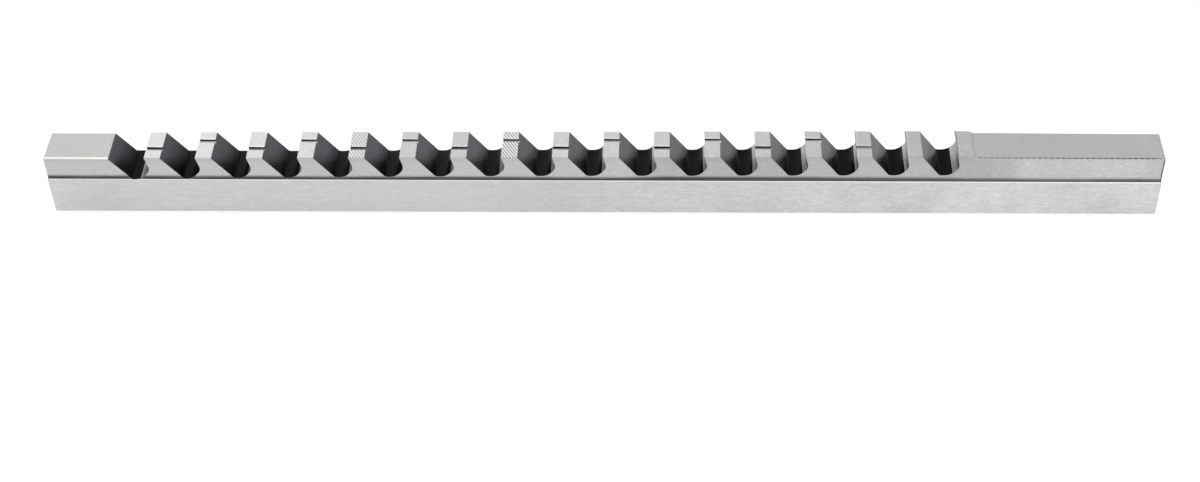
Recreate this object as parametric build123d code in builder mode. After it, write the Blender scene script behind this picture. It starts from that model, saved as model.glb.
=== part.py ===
"""Keyway broach for half inch keyways: a toothed bar of high-speed steel.

A press pushes it through a slotted bushing and the work. Millimetres. X runs along the tool from the pilot end
to the rear end, Y across it and Z up from the flat back, which the broach stands on. The origin is at the
middle of the back.
"""

from build123d import *

import math
import os

# Widths across the tool
cutting_width = 12.7
guide_width = 14.2875

# Heights above the back
guide_height = 13.6
pilot_height = 21.25
first_tooth_height = 21.7
tooth_rise = 0.107
shank_height = 22.63

# Lengths along the tool
pilot_length = 20.1
first_tooth_place = 31.35
tooth_count = 17
tooth_pitch = 15.95
land_length = 4.95
ramp_length = 0.95
shank_length = 59.975

# Tooth form
land_relief_angle = 1.0
rake_angle = 13.5
hook_radius = 2.9
hook_sweep = 56.0
hook_run = 1.03
floor_radius = 4.0
foot_radius = 1.3
back_slope_angle = 52.5
gullet_depth = 7.7

# The first gullets are deeper, by a step for each gullet up to the one that has the common depth
deeper_gullet_count = 7
extra_depth_step = 0.1
most_extra_depth = 0.5

# Chip breakers: one groove along each land, on this side and that side of the middle by turns
breaker_count = 15
breaker_width = 1.45
breaker_depth = 0.5
last_breaker_depth = 0.25
breaker_corner_radius = 0.15
odd_breaker_place = -1.65
even_breaker_place = 2.0

# Edges
edge_break = 0.25
end_edge_break = 0.25
ledge_root_radius = 0.4
ramp_foot_radius = 0.8

# What follows from the sizes above
teeth_length = (tooth_count - 1) * tooth_pitch + land_length
overall_length = first_tooth_place + teeth_length + ramp_length + shank_length
last_tooth_height = first_tooth_height + (tooth_count - 1) * tooth_rise
stock_height = max(pilot_height, last_tooth_height, shank_height)
clear_height = stock_height + gullet_depth / 2
pilot_end = -overall_length / 2
rear_end = overall_length / 2
land_drop = land_length * math.tan(math.radians(land_relief_angle))


def tip(number):
    """Cutting edge of a tooth in the side view, counted from 0 at the pilot."""
    x = pilot_end + first_tooth_place + number * tooth_pitch
    return Vector(x, first_tooth_height + number * tooth_rise)


def heel(number):
    """Rear edge of a tooth's land in the side view. Number -1 is the rear edge of the pilot's top."""
    if number < 0:
        return Vector(pilot_end + pilot_length, pilot_height)
    return tip(number) + Vector(land_length, -land_drop)


def gullet(number):
    """Chip space in front of a tooth: rake, hook and floor, up to the back slope of what is before it."""
    lean = math.radians(rake_angle)
    down_rake = Vector(math.tan(lean), -1)
    slope = math.radians(back_slope_angle)
    edge = tip(number)
    corner = heel(number - 1)
    extra_depth = min(most_extra_depth, max(0, deeper_gullet_count - number) * extra_depth_step)
    depth = gullet_depth + extra_depth

    # Below the rake face the outline turns by the hook, runs straight and turns on to the level floor
    floor_turn = 90 + rake_angle - hook_sweep
    turn = math.radians(floor_turn)
    hook_drop = hook_radius * (math.sin(lean) + math.cos(turn))
    rake_drop = depth - hook_drop - hook_run * math.sin(turn) - floor_radius * (1 - math.cos(turn))
    far = corner.X - tooth_pitch
    with BuildSketch() as outline:
        with BuildLine():
            rake = Line(edge - down_rake * (clear_height - edge.Y), edge + down_rake * rake_drop)
            hook = JernArc(rake @ 1, rake % 1, hook_radius, -hook_sweep)
            run = Line(hook @ 1, hook @ 1 + (hook % 1) * hook_run)
            floor = JernArc(run @ 1, run % 1, floor_radius, -floor_turn)
            Polyline(floor @ 1, (far, (floor @ 1).Y), (far, clear_height), rake @ 0)
        make_face()
        split(bisect_by=Plane((corner.X, corner.Y, 0), z_dir=(math.sin(slope), math.cos(slope), 0)))

        # Taken in by the foot's radius and out again, the outline has its foot rounded
        offset(amount=-foot_radius)
        offset(amount=foot_radius)
    return outline.sketch


gullets = [gullet(number) for number in range(tooth_count)]

# The section, a wide guide body with a narrower cutting part on it, runs the whole length
with BuildPart() as broach:
    with BuildSketch(Plane.YZ.offset(pilot_end)):
        Rectangle(guide_width, guide_height, align=(Align.CENTER, Align.MIN))
        chamfer(vertices(), edge_break)
        Rectangle(cutting_width, stock_height, align=(Align.CENTER, Align.MIN))
        roots = vertices().group_by(Axis.Y)[-2].sort_by(Axis.X)[1:-1]
        fillet(roots, ledge_root_radius)
    extrude(amount=overall_length)

    # The side view sets the heights of the pilot, the lands and the shank
    with BuildSketch(Plane.XZ):
        with BuildLine():
            crest = [heel(-1)]
            for number in range(tooth_count):
                crest.extend([tip(number), heel(number)])
            shank_start = Vector(crest[-1].X + ramp_length, shank_height)
            Polyline((pilot_end, 0), (pilot_end, pilot_height), *crest, shank_start)
            Polyline(shank_start, (rear_end, shank_height), (rear_end, 0), (pilot_end, 0))
        make_face()
        fillet(vertices().sort_by_distance(shank_start)[0], ramp_foot_radius)
    extrude(amount=guide_width, both=True, mode=Mode.INTERSECT)

    pilot_and_shank_tops = edges().filter_by(Axis.X).group_by(Axis.Z)[-2:]
    for top_edges in pilot_and_shank_tops:
        chamfer(top_edges, edge_break)
    for end_face in (faces().sort_by(Axis.X)[0], faces().sort_by(Axis.X)[-1]):
        chamfer(end_face.edges(), end_edge_break)

    with BuildSketch(Plane.XZ):
        add(gullets)
    extrude(amount=guide_width, both=True, mode=Mode.SUBTRACT)

    for number in range(breaker_count):
        place = odd_breaker_place if number % 2 == 0 else even_breaker_place
        depth = breaker_depth if number < breaker_count - 1 else last_breaker_depth
        with BuildSketch(Plane.YZ.offset(tip(number).X - breaker_depth)):
            with Locations((place, tip(number).Y - depth)):
                Rectangle(breaker_width, 2 * breaker_depth, align=(Align.CENTER, Align.MIN))
            fillet(vertices().group_by(Axis.Y)[0], breaker_corner_radius)
        extrude(amount=land_length + 2 * breaker_depth, mode=Mode.SUBTRACT)

broach.part.label = "broach"

os.makedirs("parts", exist_ok=True)
export_step(broach.part, "parts/broach.step")
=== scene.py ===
"""Looks of a keyway broach: a ground bar of high-speed steel with seventeen teeth, on a pale studio floor.

Metres. X runs along the tool from the pilot end to the rear end, Y across it and Z up from the flat back,
which the broach stands on. The front side is the one at -Y, which faces the camera, and the far side is
the one at +Y. The bar is cut in millimetres and brought to metres when it is finished.
"""

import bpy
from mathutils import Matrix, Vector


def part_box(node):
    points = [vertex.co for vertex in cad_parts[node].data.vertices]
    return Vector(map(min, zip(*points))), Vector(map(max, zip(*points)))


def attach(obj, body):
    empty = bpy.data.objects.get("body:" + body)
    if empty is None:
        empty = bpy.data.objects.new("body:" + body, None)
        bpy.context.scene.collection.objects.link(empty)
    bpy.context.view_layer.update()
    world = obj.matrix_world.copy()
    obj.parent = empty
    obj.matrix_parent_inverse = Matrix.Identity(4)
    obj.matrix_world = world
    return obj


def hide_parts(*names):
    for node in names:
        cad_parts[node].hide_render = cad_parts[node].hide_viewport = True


bl_info = {
    "name": "Keyway Broach",
    "version": (1, 0, 0),
    "blender": (4, 5, 0),
    "location": "3D View > Sidebar > Broach",
    "description": "Builds a keyway broach with its ground and heat treated finish, and a studio around it",
    "category": "Add Mesh",
}

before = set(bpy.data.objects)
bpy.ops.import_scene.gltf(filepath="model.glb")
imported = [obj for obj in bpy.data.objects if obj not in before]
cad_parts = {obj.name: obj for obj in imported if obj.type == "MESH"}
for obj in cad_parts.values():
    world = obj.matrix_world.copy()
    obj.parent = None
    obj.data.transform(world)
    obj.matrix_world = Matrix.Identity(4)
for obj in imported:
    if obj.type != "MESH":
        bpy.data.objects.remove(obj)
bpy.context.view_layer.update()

import math
from contextlib import contextmanager

import bmesh
import bpy
from bpy.props import FloatProperty, FloatVectorProperty, IntProperty, PointerProperty
from bpy.types import Operator, Panel, PropertyGroup
from mathutils import Matrix, Vector

CAD_LOW, CAD_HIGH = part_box("broach")
MM = 1000.0

# In millimetres: how far the cutting solids stand past the bar, by how much lengths that count as the same
# may differ, and how near vertices are merged
MARGIN = 1.0
SAME = 1e-3
MERGE = 1e-4

# Edges that turn by less are left as they are and shade smooth
SHARP = math.radians(20.0)

# Material slots of the bar
GROUND, CREST, GULLET, HOOK, GROOVE, EDGE = range(6)

# Facets along the straight part below a hook, and how far the ground hook reaches back from each
# cutting edge, in millimetres
RUN_PARTS = 5
HOOK_REACH = (2.2, -0.5, 0.3, 0.3, 0.6, -0.2, 0.3, 1.1, 0.7, 0.45, 0.6, 0.4, 0.6, 0.8, 0.1, 0.4, 1.0)

# The teeth, counted from 0, whose wheel marks are clear, with the strength of the marks
CLEAR_MARKS = ((4, 0.27), (7, 0.45))

# Full height of every finish's bump, in metres
BUMP_HEIGHT = 0.00002
WHITE = (1.0, 1.0, 1.0)


def length(name, description, default):
    """A size property in metres."""
    return FloatProperty(name=name, description=description, default=default, unit="LENGTH", precision=5)


def angle(name, description, degrees):
    """An angle property, given in degrees."""
    return FloatProperty(name=name, description=description, default=math.radians(degrees), subtype="ANGLE")


def amount(name, description, default):
    """A plain number property."""
    return FloatProperty(name=name, description=description, default=default)


def point(name, description, default):
    """A place property in metres."""
    return FloatVectorProperty(name=name, description=description, default=default, unit="LENGTH", size=3)


def count(name, description, default, least=0):
    """A count property."""
    return IntProperty(name=name, description=description, default=default, min=least)


def colour(name, description, default):
    """A colour property, as linear red, green and blue."""
    return FloatVectorProperty(name=name, description=description, default=default, subtype="COLOR",
                               size=3, min=0.0, max=1.0)


class BroachSizes(PropertyGroup):
    """Sizes of the bar and its teeth."""

    cutting_width: length("Cutting width", "Width across the teeth, the pilot and the shank", 0.0127)
    guide_width: length("Guide width", "Width of the guide body below the ledge", CAD_HIGH.y - CAD_LOW.y)
    guide_height: length("Guide height", "Height of the ledge above the back", 0.0136)
    pilot_height: length("Pilot height", "Height of the pilot above the back", 0.02125)
    first_height: length("First tooth height", "Height of the first cutting edge", 0.0217)
    tooth_rise: length("Tooth rise", "How much higher each tooth is than the one before", 0.000107)
    shank_height: length("Shank height", "Height of the shank above the back", 0.02263)
    pilot_length: length("Pilot length", "Length of the pilot's top", 0.0201)
    first_tooth_place: length("First tooth place", "From the pilot end to the first cutting edge", 0.03135)
    tooth_count: count("Teeth", "Number of teeth", 17, least=1)
    tooth_pitch: length("Tooth pitch", "Distance from one cutting edge to the next", 0.01595)
    land_length: length("Land length", "Length of the flat top of a tooth", 0.00495)
    ramp_length: length("Ramp length", "Length of the ramp from the last land down to the shank", 0.00095)
    land_relief: angle("Land relief", "Fall of a land behind its cutting edge", 1.0)
    rake: angle("Rake", "Undercut of the face below a cutting edge", 13.5)
    hook_radius: length("Hook radius", "Radius below the rake face", 0.0029)
    hook_sweep: angle("Hook sweep", "Turn of the hook below the rake face", 56.0)
    hook_run: length("Hook run", "Straight part below the hook", 0.00103)
    floor_radius: length("Floor radius", "Radius from the straight part to the level floor", 0.004)
    foot_radius: length("Foot radius", "Radius between the floor and the back slope", 0.0013)
    back_slope: angle("Back slope", "Slope behind a land, down from the level", 52.5)
    gullet_depth: length("Gullet depth", "Depth of the floor below the cutting edge", 0.0077)
    deeper_count: count("Deeper gullets", "Number of deeper gullets, from the pilot on", 7)
    extra_depth_step: length("Extra depth step", "How much deeper a gullet is than the next", 0.0001)
    most_extra_depth: length("Most extra depth", "Extra depth of the deepest gullets", 0.0005)
    breaker_count: count("Chip breakers", "Number of teeth with a chip breaker", 15)
    breaker_width: length("Chip breaker width", "Width of the groove along a land", 0.00145)
    breaker_depth: length("Chip breaker depth", "Depth of the groove below the cutting edge", 0.0005)
    last_breaker_depth: length("Last chip breaker depth", "Depth of the last tooth's groove", 0.00025)
    breaker_corner: length("Chip breaker corner", "Radius in the groove's bottom corners", 0.00015)
    odd_breaker_place: length("Odd chip breaker place", "Place across the tool, first, third", -0.00165)
    even_breaker_place: length("Even chip breaker place", "Place across the tool, second, fourth", 0.002)
    edge_break: length("Edge break", "Broken edges of the guide body, the pilot and the shank", 0.00025)
    end_edge_break: length("End edge break", "Broken edges of both end faces", 0.00025)
    ledge_root: length("Ledge root", "Radius in the corner of the ledge", 0.0004)
    ramp_foot: length("Ramp foot", "Radius between the ramp and the shank", 0.0008)
    rim_break: length("Rim break", "Broken edges around the gullets", 0.00003)
    heel_break: length("Heel break", "Broken rear edges of the lands", 0.00004)
    land_break: length("Land break", "Broken long edges of the lands", 0.00004)
    arc_step: angle("Arc step", "Turn from one facet of a round to the next", 4.0)


class BroachFinish(PropertyGroup):
    """Colours of the steel, with its painted highlights and painted shade."""

    ground: colour("Ground steel", "Sides, back and end faces", (0.575, 0.575, 0.577))
    crest: colour("Ground lands", "Lands and the tops of the pilot and the shank", (0.525, 0.523, 0.523))
    scale: colour("Heat scale", "Dark skin on the back slopes of the gullets", (0.073, 0.072, 0.080))
    deep_scale: colour("Deep scale", "Skin on the floors of the gullets", (0.045, 0.047, 0.056))
    hook: colour("Hook face", "Ground rake and hook", (0.430, 0.430, 0.430))
    # Painted highlight: the warm bright band along the pilot's front edge
    stoned: colour("Pilot edge highlight", "Band along the pilot's front edge", (0.86, 0.82, 0.775))
    groove: colour("Chip breaker floor", "Floor of a chip breaker", (0.300, 0.295, 0.290))
    burn: colour("Chip breaker walls", "Burnt walls of a chip breaker", (0.016, 0.012, 0.011))
    # Painted highlight: a lighter colour for the broken edges on top of the guide body
    edge: colour("Broken edges", "Bright broken edges", (0.720, 0.715, 0.705))
    # Painted shade: the dark strip stands for the shade in the corner above the ledge
    ledge: colour("Ledge shade", "Strip at the ledge that the wheel didn't reach", (0.115, 0.115, 0.120))


class BroachStage(PropertyGroup):
    """Floor, lamps and camera."""

    floor_size: length("Floor size", "Side of the square floor", 6.0)
    floor_gap: length("Floor gap", "How far the floor lies below the back", 0.0001)
    floor_colour: colour("Floor", "Colour of the floor", (0.60, 0.60, 0.60))
    floor_glow: amount("Floor glow", "Light that the floor adds where it is seen or mirrored", 0.59)
    sky_fill: amount("Sky fill", "Strength of the sky's light on matt surfaces", 0.55)
    key_place: point("Key place", "Place of the lamp above", (-0.5, 0.5, 1.6))
    key_size: length("Key size", "Side of the lamp above", 1.6)
    key_power: amount("Key power", "Power of the lamp above, in watts", 9.0)
    side_place: point("Side place", "Place of the lamp beside", (0.9, -1.0, 0.9))
    side_size: length("Side size", "Side of the lamp beside", 1.2)
    side_power: amount("Side power", "Power of the lamp beside, in watts", 5.0)
    focal_length: amount("Focal length", "Focal length in millimetres on a 36 mm wide sensor", 62.084)
    shift: FloatVectorProperty(name="Shift", description="Shift of the lens, sideways and up", size=2,
                               default=(-0.09623, 0.00042))
    camera_place: point("Camera place", "Place of the camera", (0.020733, -0.496597, 0.450055))
    camera_pitch: angle("Camera pitch", "How far the camera looks down", 43.378)
    camera_yaw: angle("Camera yaw", "How far the camera looks to the right", 1.617)
    camera_roll: angle("Camera roll", "Turn about the line of sight", 1.267)


def side_point(x, z):
    """A point or a step of the side view."""
    return Vector((x, 0.0, z))


class Teeth:
    """Places along the tool in millimetres. Those in the side view are points of the plane Y = 0."""

    def __init__(self, sizes):
        self.sizes = sizes
        self.pilot_end = CAD_LOW.x * MM
        self.rear_end = CAD_HIGH.x * MM
        self.pitch = sizes.tooth_pitch * MM
        self.land = sizes.land_length * MM
        self.rise = sizes.tooth_rise * MM
        self.first_height = sizes.first_height * MM
        self.first_x = self.pilot_end + sizes.first_tooth_place * MM
        self.pilot_top_end = self.heel(-1).x
        self.shank_start = self.heel(sizes.tooth_count - 1).x + sizes.ramp_length * MM
        self.front = -sizes.cutting_width * MM / 2
        self.ledge = sizes.guide_height * MM

    def tip(self, number):
        """Cutting edge of a tooth, counted from 0 at the pilot."""
        return side_point(self.first_x + number * self.pitch, self.first_height + number * self.rise)

    def heel(self, number):
        """Rear edge of a land. Number -1 is the rear edge of the pilot's top."""
        if number < 0:
            return side_point(self.pilot_end + self.sizes.pilot_length * MM, self.sizes.pilot_height * MM)
        return self.tip(number) + side_point(self.land, -self.land * math.tan(self.sizes.land_relief))

    def gullet_depth(self, number):
        """Depth of a gullet's floor below its cutting edge."""
        extra = max(0, self.sizes.deeper_count - number) * self.sizes.extra_depth_step
        return (self.sizes.gullet_depth + min(self.sizes.most_extra_depth, extra)) * MM

    def crest(self):
        """Points of the side view's upper line, from the pilot end to the rear end."""
        shank_height = self.sizes.shank_height * MM
        points = [side_point(self.pilot_end, self.sizes.pilot_height * MM), self.heel(-1)]
        for number in range(self.sizes.tooth_count):
            points.extend([self.tip(number), self.heel(number)])
        points.append(side_point(self.shank_start, shank_height))
        points.append(side_point(self.rear_end, shank_height))
        return points


def link_object(name, bm, materials):
    """Makes a scene object of a bmesh with its material slots, and frees the bmesh."""
    mesh = bpy.data.meshes.new(name)
    for material in materials:
        mesh.materials.append(material)
    bm.to_mesh(mesh)
    bm.free()
    made = bpy.data.objects.new(name, mesh)
    bpy.context.scene.collection.objects.link(made)
    return made


@contextmanager
def opened(bar):
    """The bar's mesh as a bmesh, put back and freed when the block ends."""
    bm = bmesh.new()
    bm.from_mesh(bar.data)
    yield bm
    bm.to_mesh(bar.data)
    bm.free()


def paint(faces, slot):
    """Gives faces a material slot."""
    for face in faces:
        face.material_index = slot


def push(bm, face, step):
    """Extrudes a face into a closed solid and points its faces outwards."""
    made = bmesh.ops.extrude_face_region(bm, geom=[face])
    moved = [item for item in made["geom"] if isinstance(item, bmesh.types.BMVert)]
    bmesh.ops.translate(bm, vec=step, verts=moved)
    bmesh.ops.recalc_face_normals(bm, faces=bm.faces[:])


def break_edges(bm, edges, width, segments=1):
    """Bevels the given edges, as a flat for one segment and as a round for more."""
    return bmesh.ops.bevel(bm, geom=edges, offset=width, offset_type="OFFSET", affect="EDGES",
                           segments=segments, profile=0.5, material=-1, clamp_overlap=False)


def along(edge, axis, least=0.999):
    """True if at least that part of an edge's length lies along the axis of that number."""
    step = edge.verts[1].co - edge.verts[0].co
    return abs(step[axis]) > least * step.length


def near(value, target):
    """True if two lengths are the same."""
    return abs(value - target) < SAME


def long_edges(bm, reach, height=None):
    """Edges along the tool that far from its middle plane, at one height or at any."""
    starts = [(edge, edge.verts[0].co) for edge in bm.edges if along(edge, 0)]
    return [edge for edge, start in starts
            if near(abs(start.y), reach) and (height is None or near(start.z, height))]


def section_bar(sizes, teeth, materials):
    """The stepped section, a wide guide body with a narrower cutting part on it, in full length."""
    guide = sizes.guide_width * MM / 2
    cutting = sizes.cutting_width * MM / 2
    top = CAD_HIGH.z * MM + MARGIN
    half = [(guide, 0.0), (guide, teeth.ledge), (cutting, teeth.ledge), (cutting, top)]
    outline = half + [(-y, z) for y, z in reversed(half)]
    bm = bmesh.new()
    face = bm.faces.new([bm.verts.new((teeth.pilot_end, y, z)) for y, z in outline])
    push(bm, face, (teeth.rear_end - teeth.pilot_end, 0.0, 0.0))
    made = break_edges(bm, long_edges(bm, guide), sizes.edge_break * MM)
    paint([face for face in made["faces"] if face.calc_center_median().z > teeth.ledge / 2], EDGE)
    break_edges(bm, long_edges(bm, cutting, teeth.ledge), sizes.ledge_root * MM, segments=6)
    return link_object("toothed_bar", bm, materials)


def crest_slab(sizes, teeth, materials):
    """A slab up to the side view's upper line, which sets the heights of the pilot, lands and shank."""
    wide = sizes.guide_width * MM
    crest = teeth.crest()
    start, end = crest[0], crest[-1]
    left, right = start.x - MARGIN, end.x + MARGIN
    below = [side_point(right, end.z), side_point(right, -MARGIN),
             side_point(left, -MARGIN), side_point(left, start.z)]
    bm = bmesh.new()
    to_front = Vector((0.0, -wide, 0.0))
    face = bm.faces.new([bm.verts.new(place + to_front) for place in crest[1:-1] + below])
    push(bm, face, (0.0, 2 * wide, 0.0))
    ramp_top, ramp_foot = crest[-3], crest[-2]
    fall = math.atan2(ramp_top.z - ramp_foot.z, ramp_foot.x - ramp_top.x)
    foot_edges = [edge for edge in bm.edges
                  if along(edge, 1) and near((edge.verts[0].co - ramp_foot).xz.length, 0.0)]
    break_edges(bm, foot_edges, sizes.ramp_foot * MM * math.tan(fall / 2), segments=4)
    paint(bm.faces, CREST)
    return link_object("crest_slab", bm, materials)


def sweep(bm, point, centre, turn, step):
    """Sweeps a vertex round a centre in the side view and gives the last vertex of the arc."""
    made = bmesh.ops.spin(bm, geom=[point], cent=centre, axis=(0.0, 1.0, 0.0), angle=turn,
                          steps=max(2, round(turn / step)), use_merge=False, use_duplicate=False)
    return next(item for item in made["geom_last"] if isinstance(item, bmesh.types.BMVert))


def turned(vector, turn):
    """A side view vector turned clockwise, as seen with X to the right and Z up."""
    return Matrix.Rotation(turn, 3, "Y") @ vector


def cut_gullet(bm, sizes, teeth, number):
    """Chip space in front of a tooth: rake, hook, floor, and the back slope of what is before it."""
    edge = teeth.tip(number)
    corner = teeth.heel(number - 1)
    depth = teeth.gullet_depth(number)
    down_rake = side_point(math.sin(sizes.rake), -math.cos(sizes.rake))
    down_slope = side_point(math.cos(sizes.back_slope), -math.sin(sizes.back_slope))
    down_run = turned(down_rake, sizes.hook_sweep)
    floor_turn = math.pi / 2 + sizes.rake - sizes.hook_sweep
    hook_radius = sizes.hook_radius * MM
    floor_radius = sizes.floor_radius * MM
    foot_radius = sizes.foot_radius * MM
    run = sizes.hook_run * MM

    hook_drop = hook_radius * (math.sin(sizes.rake) + math.cos(floor_turn))
    floor_drop = run * math.sin(floor_turn) + floor_radius * (1 - math.cos(floor_turn))
    rake_drop = depth - hook_drop - floor_drop
    to_front = Vector((0.0, -sizes.guide_width * MM, 0.0))
    rake_end = edge + down_rake * (rake_drop / math.cos(sizes.rake)) + to_front
    hook_centre = rake_end + turned(down_rake, math.pi / 2) * hook_radius
    foot = corner + down_slope * ((corner.z - edge.z + depth) / math.sin(sizes.back_slope)) + to_front
    floor_end = foot + side_point(foot_radius * math.tan(sizes.back_slope / 2), 0.0)

    known = len(bm.verts)
    bm.verts.new(edge - down_rake * depth / 2 + to_front)
    hook_end = sweep(bm, bm.verts.new(rake_end), hook_centre, sizes.hook_sweep, sizes.arc_step)
    for part in range(1, RUN_PARTS + 1):
        run_end = bm.verts.new(hook_end.co + down_run * (run * part / RUN_PARTS))
    floor_centre = run_end.co + turned(down_run, math.pi / 2) * floor_radius
    sweep(bm, run_end, floor_centre, floor_turn, sizes.arc_step)
    foot_centre = floor_end + side_point(0.0, foot_radius)
    sweep(bm, bm.verts.new(floor_end), foot_centre, sizes.back_slope, 2 * sizes.arc_step)
    bm.verts.new(corner - down_slope * depth / 2 + to_front)
    bm.verts.ensure_lookup_table()
    before = set(bm.faces)
    push(bm, bm.faces.new(bm.verts[known:]), -2 * to_front)
    for face in set(bm.faces) - before:
        centre = face.calc_center_median()
        on_rake = centre.z > rake_end.z and centre.x > (corner.x + edge.x) / 2
        on_hook = centre.x > edge.x - HOOK_REACH[number % len(HOOK_REACH)]
        face.material_index = HOOK if on_rake or on_hook else GULLET


def gullet_cutter(sizes, teeth, materials):
    """All the chip spaces as one tool."""
    bm = bmesh.new()
    for number in range(sizes.tooth_count):
        cut_gullet(bm, sizes, teeth, number)
    return link_object("gullet_cutter", bm, materials)


def breaker_cutter(sizes, teeth, materials):
    """All the chip breaker grooves as one tool."""
    bm = bmesh.new()
    width = sizes.breaker_width * MM
    full_depth = sizes.breaker_depth * MM
    for number in range(sizes.breaker_count):
        place = (sizes.odd_breaker_place if number % 2 == 0 else sizes.even_breaker_place) * MM
        last = number == sizes.breaker_count - 1
        depth = sizes.last_breaker_depth * MM if last else full_depth
        edge = teeth.tip(number)
        reach = teeth.land + 2 * full_depth
        height = 3 * full_depth
        made = bmesh.ops.create_cube(bm, size=1.0)
        bmesh.ops.scale(bm, vec=(reach, width, height), verts=made["verts"])
        centre = (edge.x - full_depth + reach / 2, place, edge.z - depth + height / 2)
        bmesh.ops.translate(bm, vec=centre, verts=made["verts"])
        corners = set(made["verts"])
        bottom = [item for item in bm.edges
                  if corners.issuperset(item.verts) and along(item, 0) and item.verts[0].co.z < centre[2]]
        break_edges(bm, bottom, sizes.breaker_corner * MM, segments=4)
    paint(bm.faces, GROOVE)
    return link_object("breaker_cutter", bm, materials)


def machine(bar, tool, operation):
    """Runs one exact Boolean on the bar, keeps its result as the bar's mesh and removes the tool."""
    modifier = bar.modifiers.new("machine", "BOOLEAN")
    modifier.operation = operation
    modifier.solver = "EXACT"
    modifier.material_mode = "INDEX"
    modifier.object = tool
    keep_modified(bar)
    bpy.data.objects.remove(tool)


def keep_modified(bar):
    """Puts the mesh that the modifiers make in place of the bar's own."""
    depsgraph = bpy.context.evaluated_depsgraph_get()
    bar.data = bpy.data.meshes.new_from_object(bar.evaluated_get(depsgraph), depsgraph=depsgraph)
    bar.modifiers.clear()


def break_tops_and_ends(bar, sizes, teeth):
    """Breaks the long top edges of the pilot and the shank, and the edges of both end faces."""
    cutting = sizes.cutting_width * MM / 2
    with opened(bar) as bm:
        for height in (sizes.pilot_height * MM, sizes.shank_height * MM):
            made = break_edges(bm, long_edges(bm, cutting, height), sizes.edge_break * MM)
            paint(made["faces"], CREST)
        for end in (teeth.pilot_end, teeth.rear_end):
            end_edges = [edge for edge in bm.edges if all(near(vert.co.x, end) for vert in edge.verts)]
            made = break_edges(bm, end_edges, sizes.end_edge_break * MM)
            paint(made["faces"], GROUND)


def break_cut_edges(bar, sizes):
    """Breaks the edges that the gullets left, but not the cutting edges and the chip breakers' edges."""
    widths = {
        frozenset((GROUND, GULLET)): sizes.rim_break,
        frozenset((GROUND, HOOK)): sizes.rim_break,
        frozenset((CREST, GULLET)): sizes.heel_break,
        frozenset((CREST, GROUND)): sizes.land_break,
    }
    widest = max(widths.values())
    root_top = (sizes.guide_height + sizes.ledge_root) * MM
    with opened(bar) as bm:
        bmesh.ops.remove_doubles(bm, verts=bm.verts[:], dist=MERGE)
        weight = bm.edges.layers.float.new("bevel_weight_edge")
        for edge in bm.edges:
            if len(edge.link_faces) != 2 or not edge.is_convex or edge.calc_face_angle() < SHARP:
                continue

            # In the ledge's root the facets are too short to be broken
            if min(vert.co.z for vert in edge.verts) < root_top:
                continue
            kinds = frozenset(face.material_index for face in edge.link_faces)
            edge[weight] = widths.get(kinds, 0.0) / widest
    modifier = bar.modifiers.new("break", "BEVEL")
    modifier.limit_method = "WEIGHT"
    modifier.offset_type = "OFFSET"
    modifier.width = widest * MM
    modifier.segments = 1
    modifier.profile = 0.5
    modifier.material = GROUND
    modifier.use_clamp_overlap = False
    keep_modified(bar)


def finish_mesh(bar):
    """Brings the bar to metres, and shades its rounds smooth and its flats flat."""
    with opened(bar) as bm:
        bmesh.ops.remove_doubles(bm, verts=bm.verts[:], dist=MERGE)
        bmesh.ops.scale(bm, vec=(1 / MM,) * 3, verts=bm.verts[:])
        for face in bm.faces:
            face.smooth = True
    bar.data.set_sharp_from_angle(angle=SHARP)


def feed(tree, socket, value):
    """Links another node's output to a socket, or sets the socket to a number, a vector or a colour."""
    if isinstance(value, bpy.types.NodeSocket):
        tree.links.new(value, socket)
    elif socket.type == "RGBA":
        socket.default_value = (*value, 1.0)
    else:
        socket.default_value = value


def add_node(tree, kind, settings=None, **inputs):
    """Adds a node with its settings and feeds its inputs, whose names are given with _ for a space."""
    node = tree.nodes.new(kind)
    for name, value in (settings or {}).items():
        setattr(node, name, value)
    for name, value in inputs.items():
        feed(tree, node.inputs[name.replace("_", " ")], value)
    return node


def calculate(tree, operation, *values):
    """Adds a math node and gives its output."""
    node = add_node(tree, "ShaderNodeMath", {"operation": operation})
    for socket, value in zip(node.inputs, values):
        feed(tree, socket, value)
    return node.outputs[0]


def product(tree, first, *others):
    """All the values multiplied."""
    for other in others:
        first = calculate(tree, "MULTIPLY", first, other)
    return first


def minus(tree, value, other):
    """The first value less the other."""
    return calculate(tree, "SUBTRACT", value, other)


def on_top(tree, value, gain, start=1.0):
    """A value times a gain, on top of a start. With a start of 1 it is a tone."""
    return calculate(tree, "MULTIPLY_ADD", value, gain, start)


def ramp(tree, value, low, high, start=0.0, end=1.0, smooth=True):
    """Maps a value from low to high onto start to end, held at both."""
    kind = "SMOOTHSTEP" if smooth else "LINEAR"
    node = add_node(tree, "ShaderNodeMapRange", {"interpolation_type": kind}, Value=value,
                    From_Min=low, From_Max=high, To_Min=start, To_Max=end)
    return node.outputs["Result"]


def band(tree, value, low, high, soft):
    """1 between two values and 0 outside, with soft borders."""
    fall = ramp(tree, value, high, high + soft, 1.0, 0.0)
    return product(tree, ramp(tree, value, low - soft, low), fall)


def ripple(tree, value, period, mean, swing):
    """A wave along a value, around a mean."""
    wave = calculate(tree, "SINE", product(tree, value, math.tau / period))
    return on_top(tree, wave, swing, mean)


def between(tree, factor, first, second):
    """Goes from the first value to the second as the factor goes from 0 to 1."""
    return on_top(tree, factor, minus(tree, second, first), first)


def blend_colour(tree, factor, first, second, kind="MIX"):
    """Adds a colour mix and gives its output."""
    node = add_node(tree, "ShaderNodeMix", {"data_type": "RGBA", "blend_type": kind})
    for number, value in ((0, factor), (6, first), (7, second)):
        feed(tree, node.inputs[number], value)
    return node.outputs[2]


def tinted(tree, base, *tones):
    """A colour times any number of tones."""
    tone = product(tree, *tones)
    grey = add_node(tree, "ShaderNodeCombineColor", Red=tone, Green=tone, Blue=tone).outputs[0]
    return blend_colour(tree, 1.0, base, grey, kind="MULTIPLY")


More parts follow.
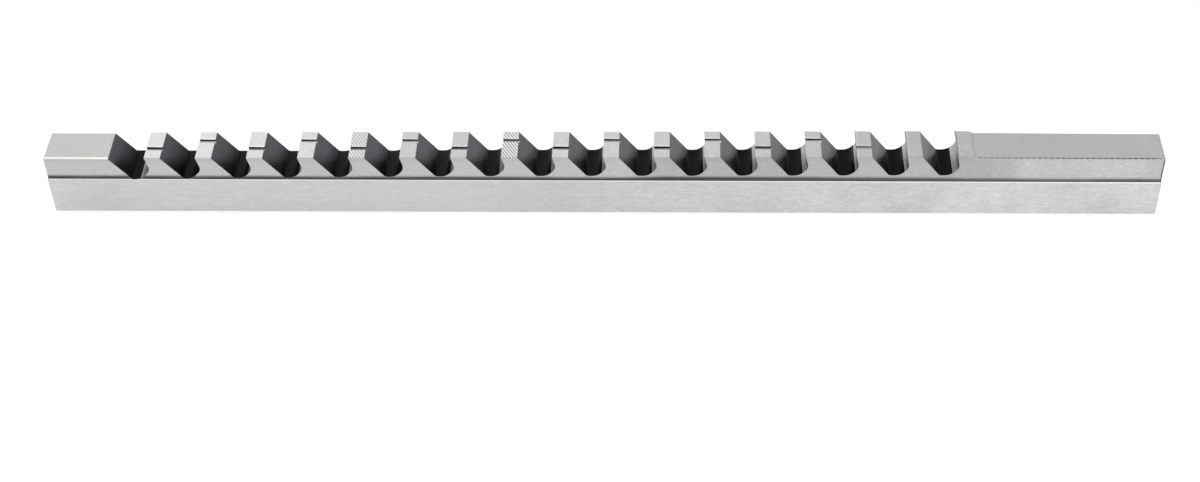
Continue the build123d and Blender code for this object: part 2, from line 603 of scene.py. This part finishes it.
def place_mm(tree):
    """The place on the object in millimetres."""
    coordinates = add_node(tree, "ShaderNodeTexCoord").outputs["Object"]
    return add_node(tree, "ShaderNodeMapping", Vector=coordinates, Scale=(MM, MM, MM)).outputs["Vector"]


def parts(tree, vector, axes):
    """The parts of a vector along the axes, such as "XZ"."""
    outputs = add_node(tree, "ShaderNodeSeparateXYZ", Vector=vector).outputs
    return [outputs[axis] for axis in axes]


def normal_part(tree, kind, axis):
    """One part of the surface's normal."""
    normal = add_node(tree, "ShaderNodeNewGeometry").outputs[kind]
    return parts(tree, normal, axis)[0]


def noise(tree, vector, scale, detail=2.0):
    """Noise stretched by a scale for each axis."""
    mapped = add_node(tree, "ShaderNodeMapping", Vector=vector, Scale=scale).outputs["Vector"]
    return add_node(tree, "ShaderNodeTexNoise", Vector=mapped, Scale=1.0, Detail=detail).outputs["Fac"]


def speckled(tree, vector, scale, strength):
    """Small spots as a tone around 1, by a strength that may change along the tool."""
    spots = noise(tree, vector, scale, detail=3.0)
    centred = ramp(tree, spots, 0.3, 0.7, -1.0, 1.0, smooth=False)
    return on_top(tree, centred, strength)


def depth_below_tips(tree, x, z, teeth):
    """Depth in millimetres below the line of the cutting edges."""
    slope = teeth.rise / teeth.pitch
    tips = on_top(tree, x, slope, teeth.first_height - slope * teeth.first_x)
    return minus(tree, tips, z)


def off_breaker(tree, y, even, sizes):
    """Distance across the tool from a chip breaker's middle, on even teeth for 1 and on odd ones for 0."""
    odd_place = sizes.odd_breaker_place * MM
    centre = on_top(tree, even, sizes.even_breaker_place * MM - odd_place, odd_place)
    return minus(tree, y, centre)


def new_group(name, inputs, outputs):
    """A shader node group with vector or float inputs, and the sockets of its input and output nodes."""
    group = bpy.data.node_groups.new(name, "ShaderNodeTree")
    for socket, default in inputs.items():
        kind = "NodeSocketVector" if isinstance(default, tuple) else "NodeSocketFloat"
        group.interface.new_socket(socket, in_out="INPUT", socket_type=kind).default_value = default
    for socket in outputs:
        group.interface.new_socket(socket, in_out="OUTPUT", socket_type="NodeSocketFloat")
    return group, group.nodes.new("NodeGroupInput").outputs, group.nodes.new("NodeGroupOutput").inputs


def use_group(tree, group, **inputs):
    """Places a node group and gives its outputs."""
    return add_node(tree, "ShaderNodeGroup", {"node_tree": group}, **inputs).outputs


def grain_group():
    """Fine ground grain: a tone around 1 for the colour, and a height for the bump."""
    group, given, made = new_group(
        "Ground Grain",
        {"Vector": (0.0, 0.0, 0.0), "Coarse Scale": (1.0, 1.0, 1.0), "Fine Scale": (1.0, 1.0, 1.0),
         "Strength": 0.1},
        ["Tone", "Height"])
    coarse = noise(group, given["Vector"], given["Coarse Scale"], detail=3.0)
    both = calculate(group, "ADD", coarse, noise(group, given["Vector"], given["Fine Scale"]))
    centred = minus(group, both, 1.0)
    feed(group, made["Tone"], on_top(group, centred, given["Strength"]))
    feed(group, made["Height"], both)
    return group


def mottle_group():
    """Soft patches left by handling and by the wheel, as a tone around 1."""
    group, given, made = new_group(
        "Soft Mottle", {"Vector": (0.0, 0.0, 0.0), "Patch Scale": 0.05, "Strength": 0.05}, ["Tone"])
    patches = add_node(group, "ShaderNodeTexNoise", Vector=given["Vector"], Scale=given["Patch Scale"],
                       Detail=3.0).outputs["Fac"]
    centred = minus(group, patches, 0.5)
    feed(group, made["Tone"], on_top(group, centred, given["Strength"]))
    return group


def hatch_group():
    """Slanting marks of a cup wheel across the lands: a wave around 0, and the grain between them."""
    group, given, made = new_group(
        "Wheel Hatch", {"Vector": (0.0, 0.0, 0.0), "Spacing": 0.6, "Slant": 0.49}, ["Wave", "Grain"])
    x, y = parts(group, given["Vector"], "XY")
    across = on_top(group, y, given["Slant"], x)
    waver = noise(group, given["Vector"], (0.35, 0.35, 0.35))
    turns = calculate(group, "DIVIDE", on_top(group, waver, 0.3, across), given["Spacing"])
    feed(group, made["Wave"], calculate(group, "SINE", product(group, turns, math.tau)))
    line = add_node(group, "ShaderNodeCombineXYZ", X=across, Y=y, Z=0.0).outputs[0]
    feed(group, made["Grain"], noise(group, line, (2.6, 0.2, 1.0), detail=3.0))
    return group


def new_material(name):
    """A node material that has only its Principled shader, and its tree."""
    material = bpy.data.materials.new(name)
    material.use_nodes = True
    return material, material.node_tree


def shader_inputs(material):
    """Inputs of a material's Principled shader."""
    return material.node_tree.nodes["Principled BSDF"].inputs


def grain_roughness(tree, grain, low, high):
    """Roughness that goes from low to high with the height of the ground grain."""
    return ramp(tree, grain["Height"], 0.6, 1.4, low, high, smooth=False)


def hatch_roughness(tree, hatch, low, high):
    """Roughness that goes from low to high with the grain between the wheel's marks."""
    return ramp(tree, hatch["Grain"], 0.3, 0.7, low, high, smooth=False)


def as_metal(material, base, roughness, height=None, strength=0.0):
    """Makes a material a metal of that colour and roughness, with bump where a height is given."""
    tree = material.node_tree
    inputs = shader_inputs(material)
    feed(tree, inputs["Base Color"], base)
    feed(tree, inputs["Roughness"], roughness)
    inputs["Metallic"].default_value = 1.0
    if height is not None:
        bump = add_node(tree, "ShaderNodeBump", Strength=strength, Distance=BUMP_HEIGHT, Height=height)
        feed(tree, inputs["Normal"], bump.outputs["Normal"])
    return material


def side_painted_light(tree, x, z, teeth):
    """Painted light: slow changes of tone along the tool, of the guide body and of the side above the
    ledge.

    The body is lighter to the rear, and the side above it is darker along the rear half of the teeth, both
    painted light.
    """
    body = calculate(tree, "ADD", ramp(tree, x, 60.0, 120.0, 1.015, 1.115),
                     ramp(tree, x, 135.0, 170.0, 0.0, -0.05))
    dim_span = band(tree, x, 12.0, 126.0, 8.0)
    dimmer_span = band(tree, x, 72.0, 105.0, 16.0)
    dimming = on_top(tree, dimmer_span, 0.06, ramp(tree, x, 112.0, 120.0, -0.14, -0.18))
    upper_light = product(tree, ramp(tree, x, 100.0, 145.0, 0.91, 0.95), ramp(tree, x, 148.0, 172.0, 1.0, 0.92))
    below = depth_below_tips(tree, x, z, teeth)
    side = product(tree, on_top(tree, dim_span, dimming, upper_light), ramp(tree, below, 0.3, 3.0, 0.93, 1.0))
    return between(tree, ramp(tree, z, teeth.ledge - 0.05, teeth.ledge + 0.05), body, side)


def rear_line(tree, x, z, teeth):
    """Tone of a dark burnt line on the upper part, just before the rear end's edge."""
    rear = teeth.rear_end - teeth.sizes.end_edge_break * MM
    line = band(tree, x, rear - 0.26, rear - 0.02, 0.06)
    return on_top(tree, product(tree, line, ramp(tree, z, teeth.ledge + 0.3, teeth.ledge + 0.8)), -0.92)


def ledge_painted_shade(tree, place, x, z, ledge):
    """Mask of painted shade in the corner above the ledge: a dark strip of uneven height that fades
    upwards.
    """
    waver = noise(tree, place, (0.05, 0.05, 0.05), detail=3.0)
    middle = band(tree, x, 22.0, 105.0, 15.0)
    full = on_top(tree, middle, 0.40, ramp(tree, waver, 0.3, 0.7, 0.12, 0.37))
    above = minus(tree, minus(tree, z, ledge), full)
    fade = ramp(tree, above, 0.0, 1.15, 1.0, 0.0, smooth=False)
    return product(tree, fade, ramp(tree, z, ledge - 0.05, ledge - 0.02))


def ground_material(finish, teeth, groups):
    """Sides, back and ends: lengthwise grain, soft patches, dashes, painted light along the tool, and
    painted shade as a dark strip at the ledge.
    """
    material, tree = new_material("ground_steel")
    place = place_mm(tree)
    x, z = parts(tree, place, "XZ")
    grain = use_group(tree, groups["grain"], Vector=place, Coarse_Scale=(0.08, 2.2, 2.2),
                      Fine_Scale=(0.5, 9.0, 9.0), Strength=0.20)
    patches = ramp(tree, x, 20.0, 110.0, 0.12, 0.42)
    mottle = use_group(tree, groups["mottle"], Vector=place, Patch_Scale=0.05, Strength=patches)
    speckle = speckled(tree, place, (0.6, 1.9, 1.9), ramp(tree, x, -60.0, 60.0, 0.06, 0.10))

    # There are more dashes just below the ledge
    scattered = noise(tree, place, (0.8, 4.5, 4.5), detail=1.0)
    more = on_top(tree, band(tree, z, teeth.ledge - 1.4, teeth.ledge - 0.3, 0.4), 0.05, scattered)
    dashes = ramp(tree, more, 0.66, 0.74, 1.0, 0.84)
    plain = tinted(tree, finish.ground, grain["Tone"], mottle["Tone"], dashes, speckle,
                   side_painted_light(tree, x, z, teeth), rear_line(tree, x, z, teeth))
    # Colour of the painted shade at the ledge, darker toward the pilot end
    dark = tinted(tree, finish.ledge, ramp(tree, x, 20.0, 80.0, 0.70, 1.0))
    base = blend_colour(tree, ledge_painted_shade(tree, place, x, z, teeth.ledge), plain, dark)
    return as_metal(material, base, grain_roughness(tree, grain, 0.34, 0.46), grain["Height"], 0.25)


def pilot_painted_highlight(tree, x, y, teeth):
    """Mask of a painted highlight: a bright band along the pilot's front edge, a little stronger to its
    rear.
    """
    end = teeth.pilot_top_end
    on_pilot = ramp(tree, x, end + 0.5, end + 1.0, 1.0, 0.0)
    stoned = product(tree, on_pilot, band(tree, y, teeth.front + 0.15, teeth.front + 0.90, 0.10))
    stronger = ramp(tree, x, teeth.pilot_end, end, 0.85, 1.1, smooth=False)
    return product(tree, stoned, product(tree, ripple(tree, x, 0.9, 0.70, 0.13), stronger))


def shank_painted_reflection(tree, x, y, waver, teeth):
    """Tone of a painted dark reflection: a dotted line along the shank's front edge, deeper to the rear."""
    start, end = teeth.shank_start, teeth.rear_end
    fading = ramp(tree, x, end - 3.5, end - 1.5, 1.0, 0.4)
    dots = product(tree, ramp(tree, x, start, start + 1.0), fading,
                   band(tree, y, teeth.front + 0.42, teeth.front + 0.78, 0.12))
    depths = on_top(tree, waver, -0.5, ripple(tree, x, 1.9, -0.35, 0.24))
    deeper = ramp(tree, x, start, end, 0.85, 1.15, smooth=False)
    return on_top(tree, dots, product(tree, depths, deeper))


def darker_rims(tree, x, y, waver, teeth):
    """Tone of the lands' front edges, darker toward the edge, with small darker places along them."""
    on_teeth = minus(tree, ramp(tree, x, teeth.pilot_top_end + 5.0, teeth.pilot_top_end + 6.0),
                     ramp(tree, x, teeth.shank_start - 1.0, teeth.shank_start))
    front_margin = product(tree, on_teeth, ramp(tree, y, teeth.front + 0.05, teeth.front + 0.65, 1.0, 0.0))
    return on_top(tree, front_margin, on_top(tree, waver, -0.3, -0.07))


def painted_rake_strips(tree, x, teeth):
    """Tone of a painted shade strip behind the rear teeth's cutting edges, which stands for the rake face,
    with a painted highlight line of the cutting edge behind it.
    """
    turns = calculate(tree, "DIVIDE", minus(tree, x, teeth.first_x), teeth.pitch)
    behind = product(tree, calculate(tree, "FRACT", turns), teeth.pitch)
    past = minus(tree, behind, ramp(tree, x, 60.0, 113.0, 0.1, 0.6, smooth=False))
    rear_teeth = minus(tree, ramp(tree, x, 60.0, 80.0),
                       ramp(tree, x, teeth.shank_start - 3.0, teeth.shank_start - 2.0))
    strip = product(tree, ramp(tree, past, -0.15, 0.05, 1.0, 0.0), -0.38)
    line = product(tree, band(tree, past, 0.10, 0.30, 0.12), 0.18)
    return on_top(tree, rear_teeth, calculate(tree, "ADD", strip, line))


def breaker_highlights(tree, x, y, teeth):
    """Tone of a painted highlight, a bright line on the far side of each chip breaker."""
    behind_first = minus(tree, x, teeth.first_x - teeth.pitch / 4)
    pairs = calculate(tree, "DIVIDE", behind_first, 2 * teeth.pitch)
    even = calculate(tree, "GREATER_THAN", calculate(tree, "FRACT", pairs), 0.5)
    glint = band(tree, off_breaker(tree, y, even, teeth.sizes), 0.85, 1.4, 0.2)
    grooved = band(tree, x, teeth.first_x, teeth.heel(teeth.sizes.breaker_count - 1).x, 0.5)
    return on_top(tree, product(tree, glint, grooved), 0.14)


def crest_material(finish, teeth, groups):
    """Lands and tops: slanting wheel marks, clear on two lands, painted light along the tool, and painted
    highlights, painted shade and a painted dark reflection at the edges.
    """
    material, tree = new_material("ground_lands")
    place = place_mm(tree)
    x, y = parts(tree, place, "XY")
    hatch = use_group(tree, groups["hatch"], Vector=place, Spacing=1.02, Slant=0.60)
    depth = 0.03
    for number, strength in CLEAR_MARKS:
        left = teeth.tip(number).x
        clear = band(tree, x, left - 0.5, left + teeth.land + 0.5, 0.5)
        depth = on_top(tree, clear, strength, depth)
    marks = on_top(tree, hatch["Wave"], depth)
    line_grain = ramp(tree, hatch["Grain"], 0.3, 0.7, 0.93, 1.07, smooth=False)
    mottle = use_group(tree, groups["mottle"], Vector=place, Patch_Scale=0.12, Strength=0.10)

    # Painted light makes the tops darker to the rear, with a dip before the middle and a rise after it, and
    # the pilot's top is darker still
    end = teeth.pilot_top_end
    painted_light_falloff = ramp(tree, x, -145.0, 112.0, 1.0, 0.8, smooth=False)
    painted_light_dip = on_top(tree, band(tree, x, -74.0, -48.0, 22.0), -0.09, 1.02)
    rise = on_top(tree, band(tree, x, -5.0, 60.0, 35.0), 0.06)
    pilot = ramp(tree, x, end + 1.0, end + 2.0, 0.77, 1.0)
    spots = ramp(tree, x, end + 1.0, end + 2.0, 0.06, 0.12)
    speckle = speckled(tree, place, (1.9, 1.9, 1.9), spots)

    # Along the edges: a painted highlight at the pilot's front edge, a painted dark reflection at the
    # shank's, darker front rims on the lands, a painted shade strip and a painted highlight line behind
    # each rear tooth's cutting edge, and a painted highlight beside each chip breaker
    waver = noise(tree, place, (0.9, 0.0, 0.0), detail=1.0)
    ground = tinted(tree, finish.crest, marks, line_grain, speckle, mottle["Tone"], painted_light_falloff, painted_light_dip, rise,
                    pilot, shank_painted_reflection(tree, x, y, waver, teeth), darker_rims(tree, x, y, waver, teeth),
                    painted_rake_strips(tree, x, teeth), breaker_highlights(tree, x, y, teeth))
    # Painted highlight along the pilot's front edge
    base = blend_colour(tree, pilot_painted_highlight(tree, x, y, teeth), ground, finish.stoned)
    height = on_top(tree, hatch["Wave"], depth, hatch["Grain"])
    return as_metal(material, base, hatch_roughness(tree, hatch, 0.36, 0.48), height, 0.2)


def gullet_material(finish, teeth, groups):
    """Back slopes and floors: glossy dark heat scale, darkest on the floor, with faint lines across, and
    painted shade and painted dark reflection deeper down.
    """
    material, tree = new_material("gullet_scale")
    place = place_mm(tree)
    x, y, z = parts(tree, place, "XYZ")
    depth = depth_below_tips(tree, x, z, teeth)
    grain = use_group(tree, groups["grain"], Vector=place, Coarse_Scale=(4.0, 0.15, 4.0),
                      Fine_Scale=(14.0, 0.5, 14.0), Strength=0.35)
    mottle = use_group(tree, groups["mottle"], Vector=place, Patch_Scale=0.25, Strength=0.3)
    sloping = product(tree, ramp(tree, normal_part(tree, "Normal", "X"), 0.15, 0.6),
                      ramp(tree, depth, 5.5, 7.5, 1.0, 0.4))
    # The floors' skin, with painted shade that deepens to the rear
    deep = tinted(tree, finish.deep_scale, ramp(tree, x, -60.0, 110.0, 1.22, 0.45))
    scale = blend_colour(tree, sloping, deep, finish.scale)
    # Painted shade, darker deeper in the gullet
    fading = ramp(tree, depth, 3.0, 8.0, 1.0, 0.35)

    # The first slopes are darker below, the rear ones lighter, and the last gullet is darker again
    rearward = product(tree, ramp(tree, x, -150.0, 0.0, 1.0, 1.06), ramp(tree, x, 95.0, 99.0, 1.0, 0.87))
    first = between(tree, ramp(tree, depth, 1.0, 4.5), 1.0, ramp(tree, x, -150.0, -95.0, 0.6, 1.0))

    # Painted dark reflection makes the skin darkest in the lower front corner of each slope, and painted
    # shade darkens it along the floor on the rear ones
    slant = ramp(tree, x, 40.0, 115.0, -0.41, -0.2, smooth=False)
    corner = on_top(tree, calculate(tree, "ADD", y, 6.0), slant, depth)
    painted_corner_shade = between(tree, ramp(tree, corner, 0.7, 4.6), 1.0,
                    ramp(tree, x, -30.0, 115.0, 0.28, 0.70, smooth=False))
    middle = product(tree, band(tree, corner, 2.4, 3.4, 1.2), ramp(tree, x, -60.0, -20.0, 0.0, -0.5))
    low = product(tree, ramp(tree, depth, 4.2, 6.5),
                  ramp(tree, x, -60.0, 120.0, 0.0, -0.45, smooth=False))
    both = calculate(tree, "ADD", middle, low)
    shaded = calculate(tree, "MAXIMUM", calculate(tree, "ADD", both, 1.0), 0.3)
    base = tinted(tree, scale, grain["Tone"], mottle["Tone"], fading, rearward, first, painted_corner_shade, shaded)
    return as_metal(material, base, grain_roughness(tree, grain, 0.25, 0.33), grain["Height"], 0.15)


def hook_material(finish, groups):
    """Rake and hook: bright ground steel with lines across the tool."""
    material, tree = new_material("ground_hook")
    place = place_mm(tree)
    grain = use_group(tree, groups["grain"], Vector=place, Coarse_Scale=(2.0, 0.5, 2.0),
                      Fine_Scale=(6.0, 2.5, 6.0), Strength=0.5)
    base = tinted(tree, finish.hook, grain["Tone"], speckled(tree, place, (2.4, 1.6, 2.4), 0.22))
    return as_metal(material, base, grain_roughness(tree, grain, 0.42, 0.54), grain["Height"], 0.2)


def groove_material(finish, sizes, groups):
    """Chip breakers: burnt walls, and a floor with painted shade beside the far wall."""
    material, tree = new_material("chip_breaker")
    place = place_mm(tree)
    x, y = parts(tree, place, "XY")
    grain = use_group(tree, groups["grain"], Vector=place, Coarse_Scale=(0.3, 6.0, 6.0),
                      Fine_Scale=(0.8, 18.0, 18.0), Strength=0.3)
    # The walls' near-black is grinding burn, and on the steeper facets of the rounded bottom corners it is
    # painted shade
    level = ramp(tree, normal_part(tree, "True Normal", "Z"), 0.8, 0.99)
    walls_and_floor = blend_colour(tree, level, finish.burn, finish.groove)
    even = calculate(tree, "GREATER_THAN", y, 0.0)
    # Painted shade on the floor beside the far wall
    shade = ramp(tree, off_breaker(tree, y, even, sizes), -0.6, 0.5, 1.0, 0.35, smooth=False)

    # The grooves in the far half of the lands are less burnt, and so are those of the last teeth
    half = ramp(tree, y, -0.1, 0.1, 1.05, 2.0)
    last = ramp(tree, x, 10.0, 30.0, 1.0, 1.4)
    base = tinted(tree, walls_and_floor, grain["Tone"], shade, half, last)
    return as_metal(material, base, grain_roughness(tree, grain, 0.40, 0.55), grain["Height"], 0.2)


def edge_highlight_material(finish, groups):
    """Broken edges: a lighter colour as painted highlight on chamfers that catch the light, darker to the
    rear as painted light, with the wheel's marks as small nicks.
    """
    material, tree = new_material("broken_edge_highlight")
    place = place_mm(tree)
    x = parts(tree, place, "X")[0]
    hatch = use_group(tree, groups["hatch"], Vector=place, Spacing=0.8, Slant=0.49)
    marks = on_top(tree, hatch["Wave"], 0.06)
    base = tinted(tree, finish.edge, marks, ramp(tree, x, 40.0, 120.0, 1.0, 0.86))
    return as_metal(material, base, hatch_roughness(tree, hatch, 0.28, 0.40))


def make_materials(finish, teeth):
    """The bar's materials in the order of its slots."""
    groups = {"grain": grain_group(), "mottle": mottle_group(), "hatch": hatch_group()}
    return [
        ground_material(finish, teeth, groups),
        crest_material(finish, teeth, groups),
        gullet_material(finish, teeth, groups),
        hook_material(finish, groups),
        groove_material(finish, teeth.sizes, groups),
        edge_highlight_material(finish, groups),
    ]


def seen_or_mirrored(tree):
    """1 for rays from the camera, from mirrors and through glass, and 0 for the rest of the light."""
    rays = add_node(tree, "ShaderNodeLightPath").outputs
    either = calculate(tree, "MAXIMUM", rays["Is Camera Ray"], rays["Is Glossy Ray"])
    return calculate(tree, "MAXIMUM", either, rays["Is Transmission Ray"])


def floor_material(stage):
    """Pale floor that shows white where the broach's shadow doesn't fall."""
    material, tree = new_material("pale_floor")
    looks = {"Base Color": stage.floor_colour, "Roughness": 0.9, "Specular IOR Level": 0.0,
             "Emission Color": WHITE,
             "Emission Strength": product(tree, seen_or_mirrored(tree), stage.floor_glow)}
    for name, value in looks.items():
        feed(tree, shader_inputs(material)[name], value)
    return material


def make_world(stage):
    """A white sky: full white where it is seen or mirrored, and a softer fill elsewhere."""
    world = bpy.data.worlds.new("studio_sky")
    bpy.context.scene.world = world
    world.use_nodes = True
    tree = world.node_tree
    inputs = tree.nodes["Background"].inputs
    feed(tree, inputs["Color"], WHITE)
    strength = ramp(tree, seen_or_mirrored(tree), 0.0, 1.0, stage.sky_fill, 1.0, smooth=False)
    feed(tree, inputs["Strength"], strength)


def make_floor(stage):
    """The floor, just below the broach's back."""
    bm = bmesh.new()
    bmesh.ops.create_grid(bm, x_segments=1, y_segments=1, size=stage.floor_size / 2)
    bmesh.ops.translate(bm, vec=(0.0, 0.0, -stage.floor_gap), verts=bm.verts[:])
    link_object("floor", bm, [floor_material(stage)])


def make_lamp(name, place, size, power):
    """A square soft lamp that faces the broach's middle."""
    lamp = bpy.data.objects.new(name, bpy.data.lights.new(name, "AREA"))
    lamp.data.shape = "SQUARE"
    lamp.data.size = size
    lamp.data.energy = power
    lamp.location = place
    lamp.rotation_euler = (-lamp.location).to_track_quat("-Z", "Y").to_euler()
    bpy.context.scene.collection.objects.link(lamp)


def make_camera(stage):
    """The camera, at the photograph's angle."""
    data = bpy.data.cameras.new("camera")
    data.sensor_width = 36.0
    data.lens = stage.focal_length
    data.shift_x, data.shift_y = stage.shift
    data.clip_start = 0.01
    data.clip_end = 20.0
    camera = bpy.data.objects.new("camera", data)
    turn = (Matrix.Rotation(-stage.camera_yaw, 4, "Z")
            @ Matrix.Rotation(math.pi / 2 - stage.camera_pitch, 4, "X")
            @ Matrix.Rotation(stage.camera_roll, 4, "Z"))
    camera.matrix_world = Matrix.Translation(stage.camera_place) @ turn
    bpy.context.scene.collection.objects.link(camera)
    bpy.context.scene.camera = camera


class BROACH_OT_bar(Operator):
    """Builds the broach from its sizes and gives it its finish"""

    bl_idname = "broach.bar"
    bl_label = "Broach"

    def execute(self, context):
        sizes = context.scene.broach_sizes
        teeth = Teeth(sizes)
        materials = make_materials(context.scene.broach_finish, teeth)
        bar = section_bar(sizes, teeth, materials)
        machine(bar, crest_slab(sizes, teeth, materials), "INTERSECT")
        break_tops_and_ends(bar, sizes, teeth)
        machine(bar, gullet_cutter(sizes, teeth, materials), "DIFFERENCE")
        machine(bar, breaker_cutter(sizes, teeth, materials), "DIFFERENCE")
        break_cut_edges(bar, sizes)
        finish_mesh(bar)
        if len(bar.data.polygons) < sizes.tooth_count:
            raise RuntimeError("the broach has lost its teeth")
        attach(bar, "root")
        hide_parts("broach")
        return {"FINISHED"}


class BROACH_OT_stage(Operator):
    """Builds the floor, the sky, the lamps and the camera"""

    bl_idname = "broach.stage"
    bl_label = "Stage"

    def execute(self, context):
        stage = context.scene.broach_stage
        make_world(stage)
        make_floor(stage)
        make_lamp("key_lamp", stage.key_place, stage.key_size, stage.key_power)
        make_lamp("side_lamp", stage.side_place, stage.side_size, stage.side_power)
        make_camera(stage)
        context.scene.view_settings.view_transform = "Standard"
        return {"FINISHED"}


class BROACH_PT_panel(Panel):
    """Lists the steps that build the broach and its studio"""

    bl_label = "Keyway Broach"
    bl_idname = "BROACH_PT_panel"
    bl_space_type = "VIEW_3D"
    bl_region_type = "UI"
    bl_category = "Broach"

    def draw(self, context):
        column = self.layout.column()
        for step in (BROACH_OT_bar, BROACH_OT_stage):
            column.operator(step.bl_idname)
        for group in (context.scene.broach_sizes, context.scene.broach_finish, context.scene.broach_stage):
            for name in group.__annotations__:
                column.prop(group, name)


CLASSES = (BroachSizes, BroachFinish, BroachStage, BROACH_OT_bar, BROACH_OT_stage, BROACH_PT_panel)
GROUPS = {"broach_sizes": BroachSizes, "broach_finish": BroachFinish, "broach_stage": BroachStage}


def register():
    """Registers the classes and hangs the groups of properties on the scene."""
    for kind in CLASSES:
        bpy.utils.register_class(kind)
    for name, kind in GROUPS.items():
        setattr(bpy.types.Scene, name, PointerProperty(type=kind))


def unregister():
    """Takes back what register does, in reverse order."""
    for name in GROUPS:
        delattr(bpy.types.Scene, name)
    for kind in reversed(CLASSES):
        bpy.utils.unregister_class(kind)


def main():
    """Builds everything in order."""
    register()
    bpy.ops.broach.bar()
    bpy.ops.broach.stage()


if __name__ == "__main__":
    main()
